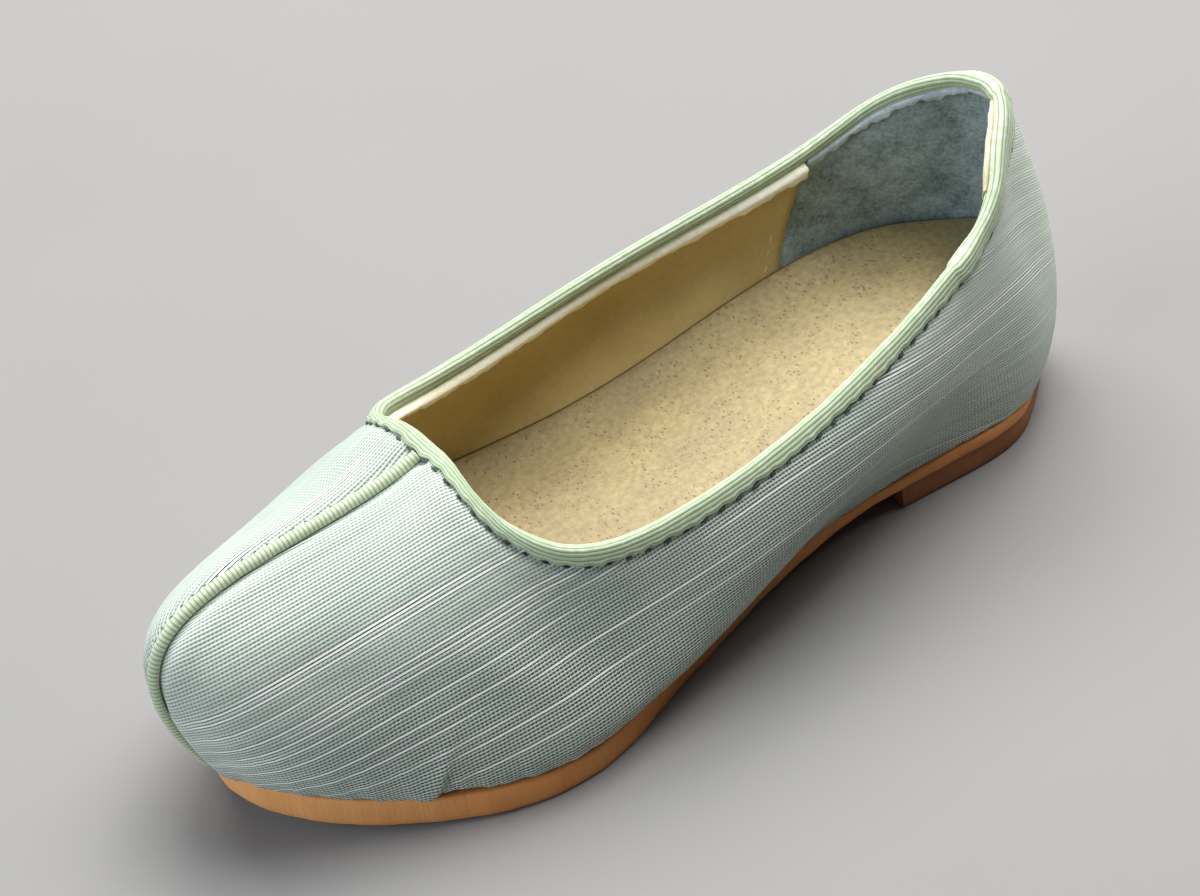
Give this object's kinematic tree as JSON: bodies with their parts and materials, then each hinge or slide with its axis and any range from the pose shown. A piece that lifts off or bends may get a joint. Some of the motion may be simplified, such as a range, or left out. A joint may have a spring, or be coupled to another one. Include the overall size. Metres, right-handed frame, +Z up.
{
  "type": "hanbok shoe",
  "caption": "Low slip-on hanbok shoe: lasted fabric upper with bound collar and centre-front piping on a thin leather sole with a low heel.",
  "frame": {"origin": "middle of the shoe's bounding box at the floor", "axes": "+X to the toe, +Y to the wearer's left, +Z up"},
  "size_m": [0.1746, 0.0703, 0.058],
  "materials": {
    "sole_leather": "cut and burnished edge, tan",
    "heel_leather": "cut edge, brown",
    "slub_fabric": "fine ribbed slub weave, pale celadon",
    "sock_leather": "matt pigskin, beige",
    "binding_tape": "lengthwise ribbed tape, pale green",
    "piping_cord": "cross-ribbed cord, pale green"
  },
  "bodies": {
    "root": {"outsole": "sole_leather", "heel": "heel_leather", "upper": "slub_fabric", "insole": "sock_leather", "collar_binding": "binding_tape", "front_piping": "piping_cord"}
  },
  "joints": []
}
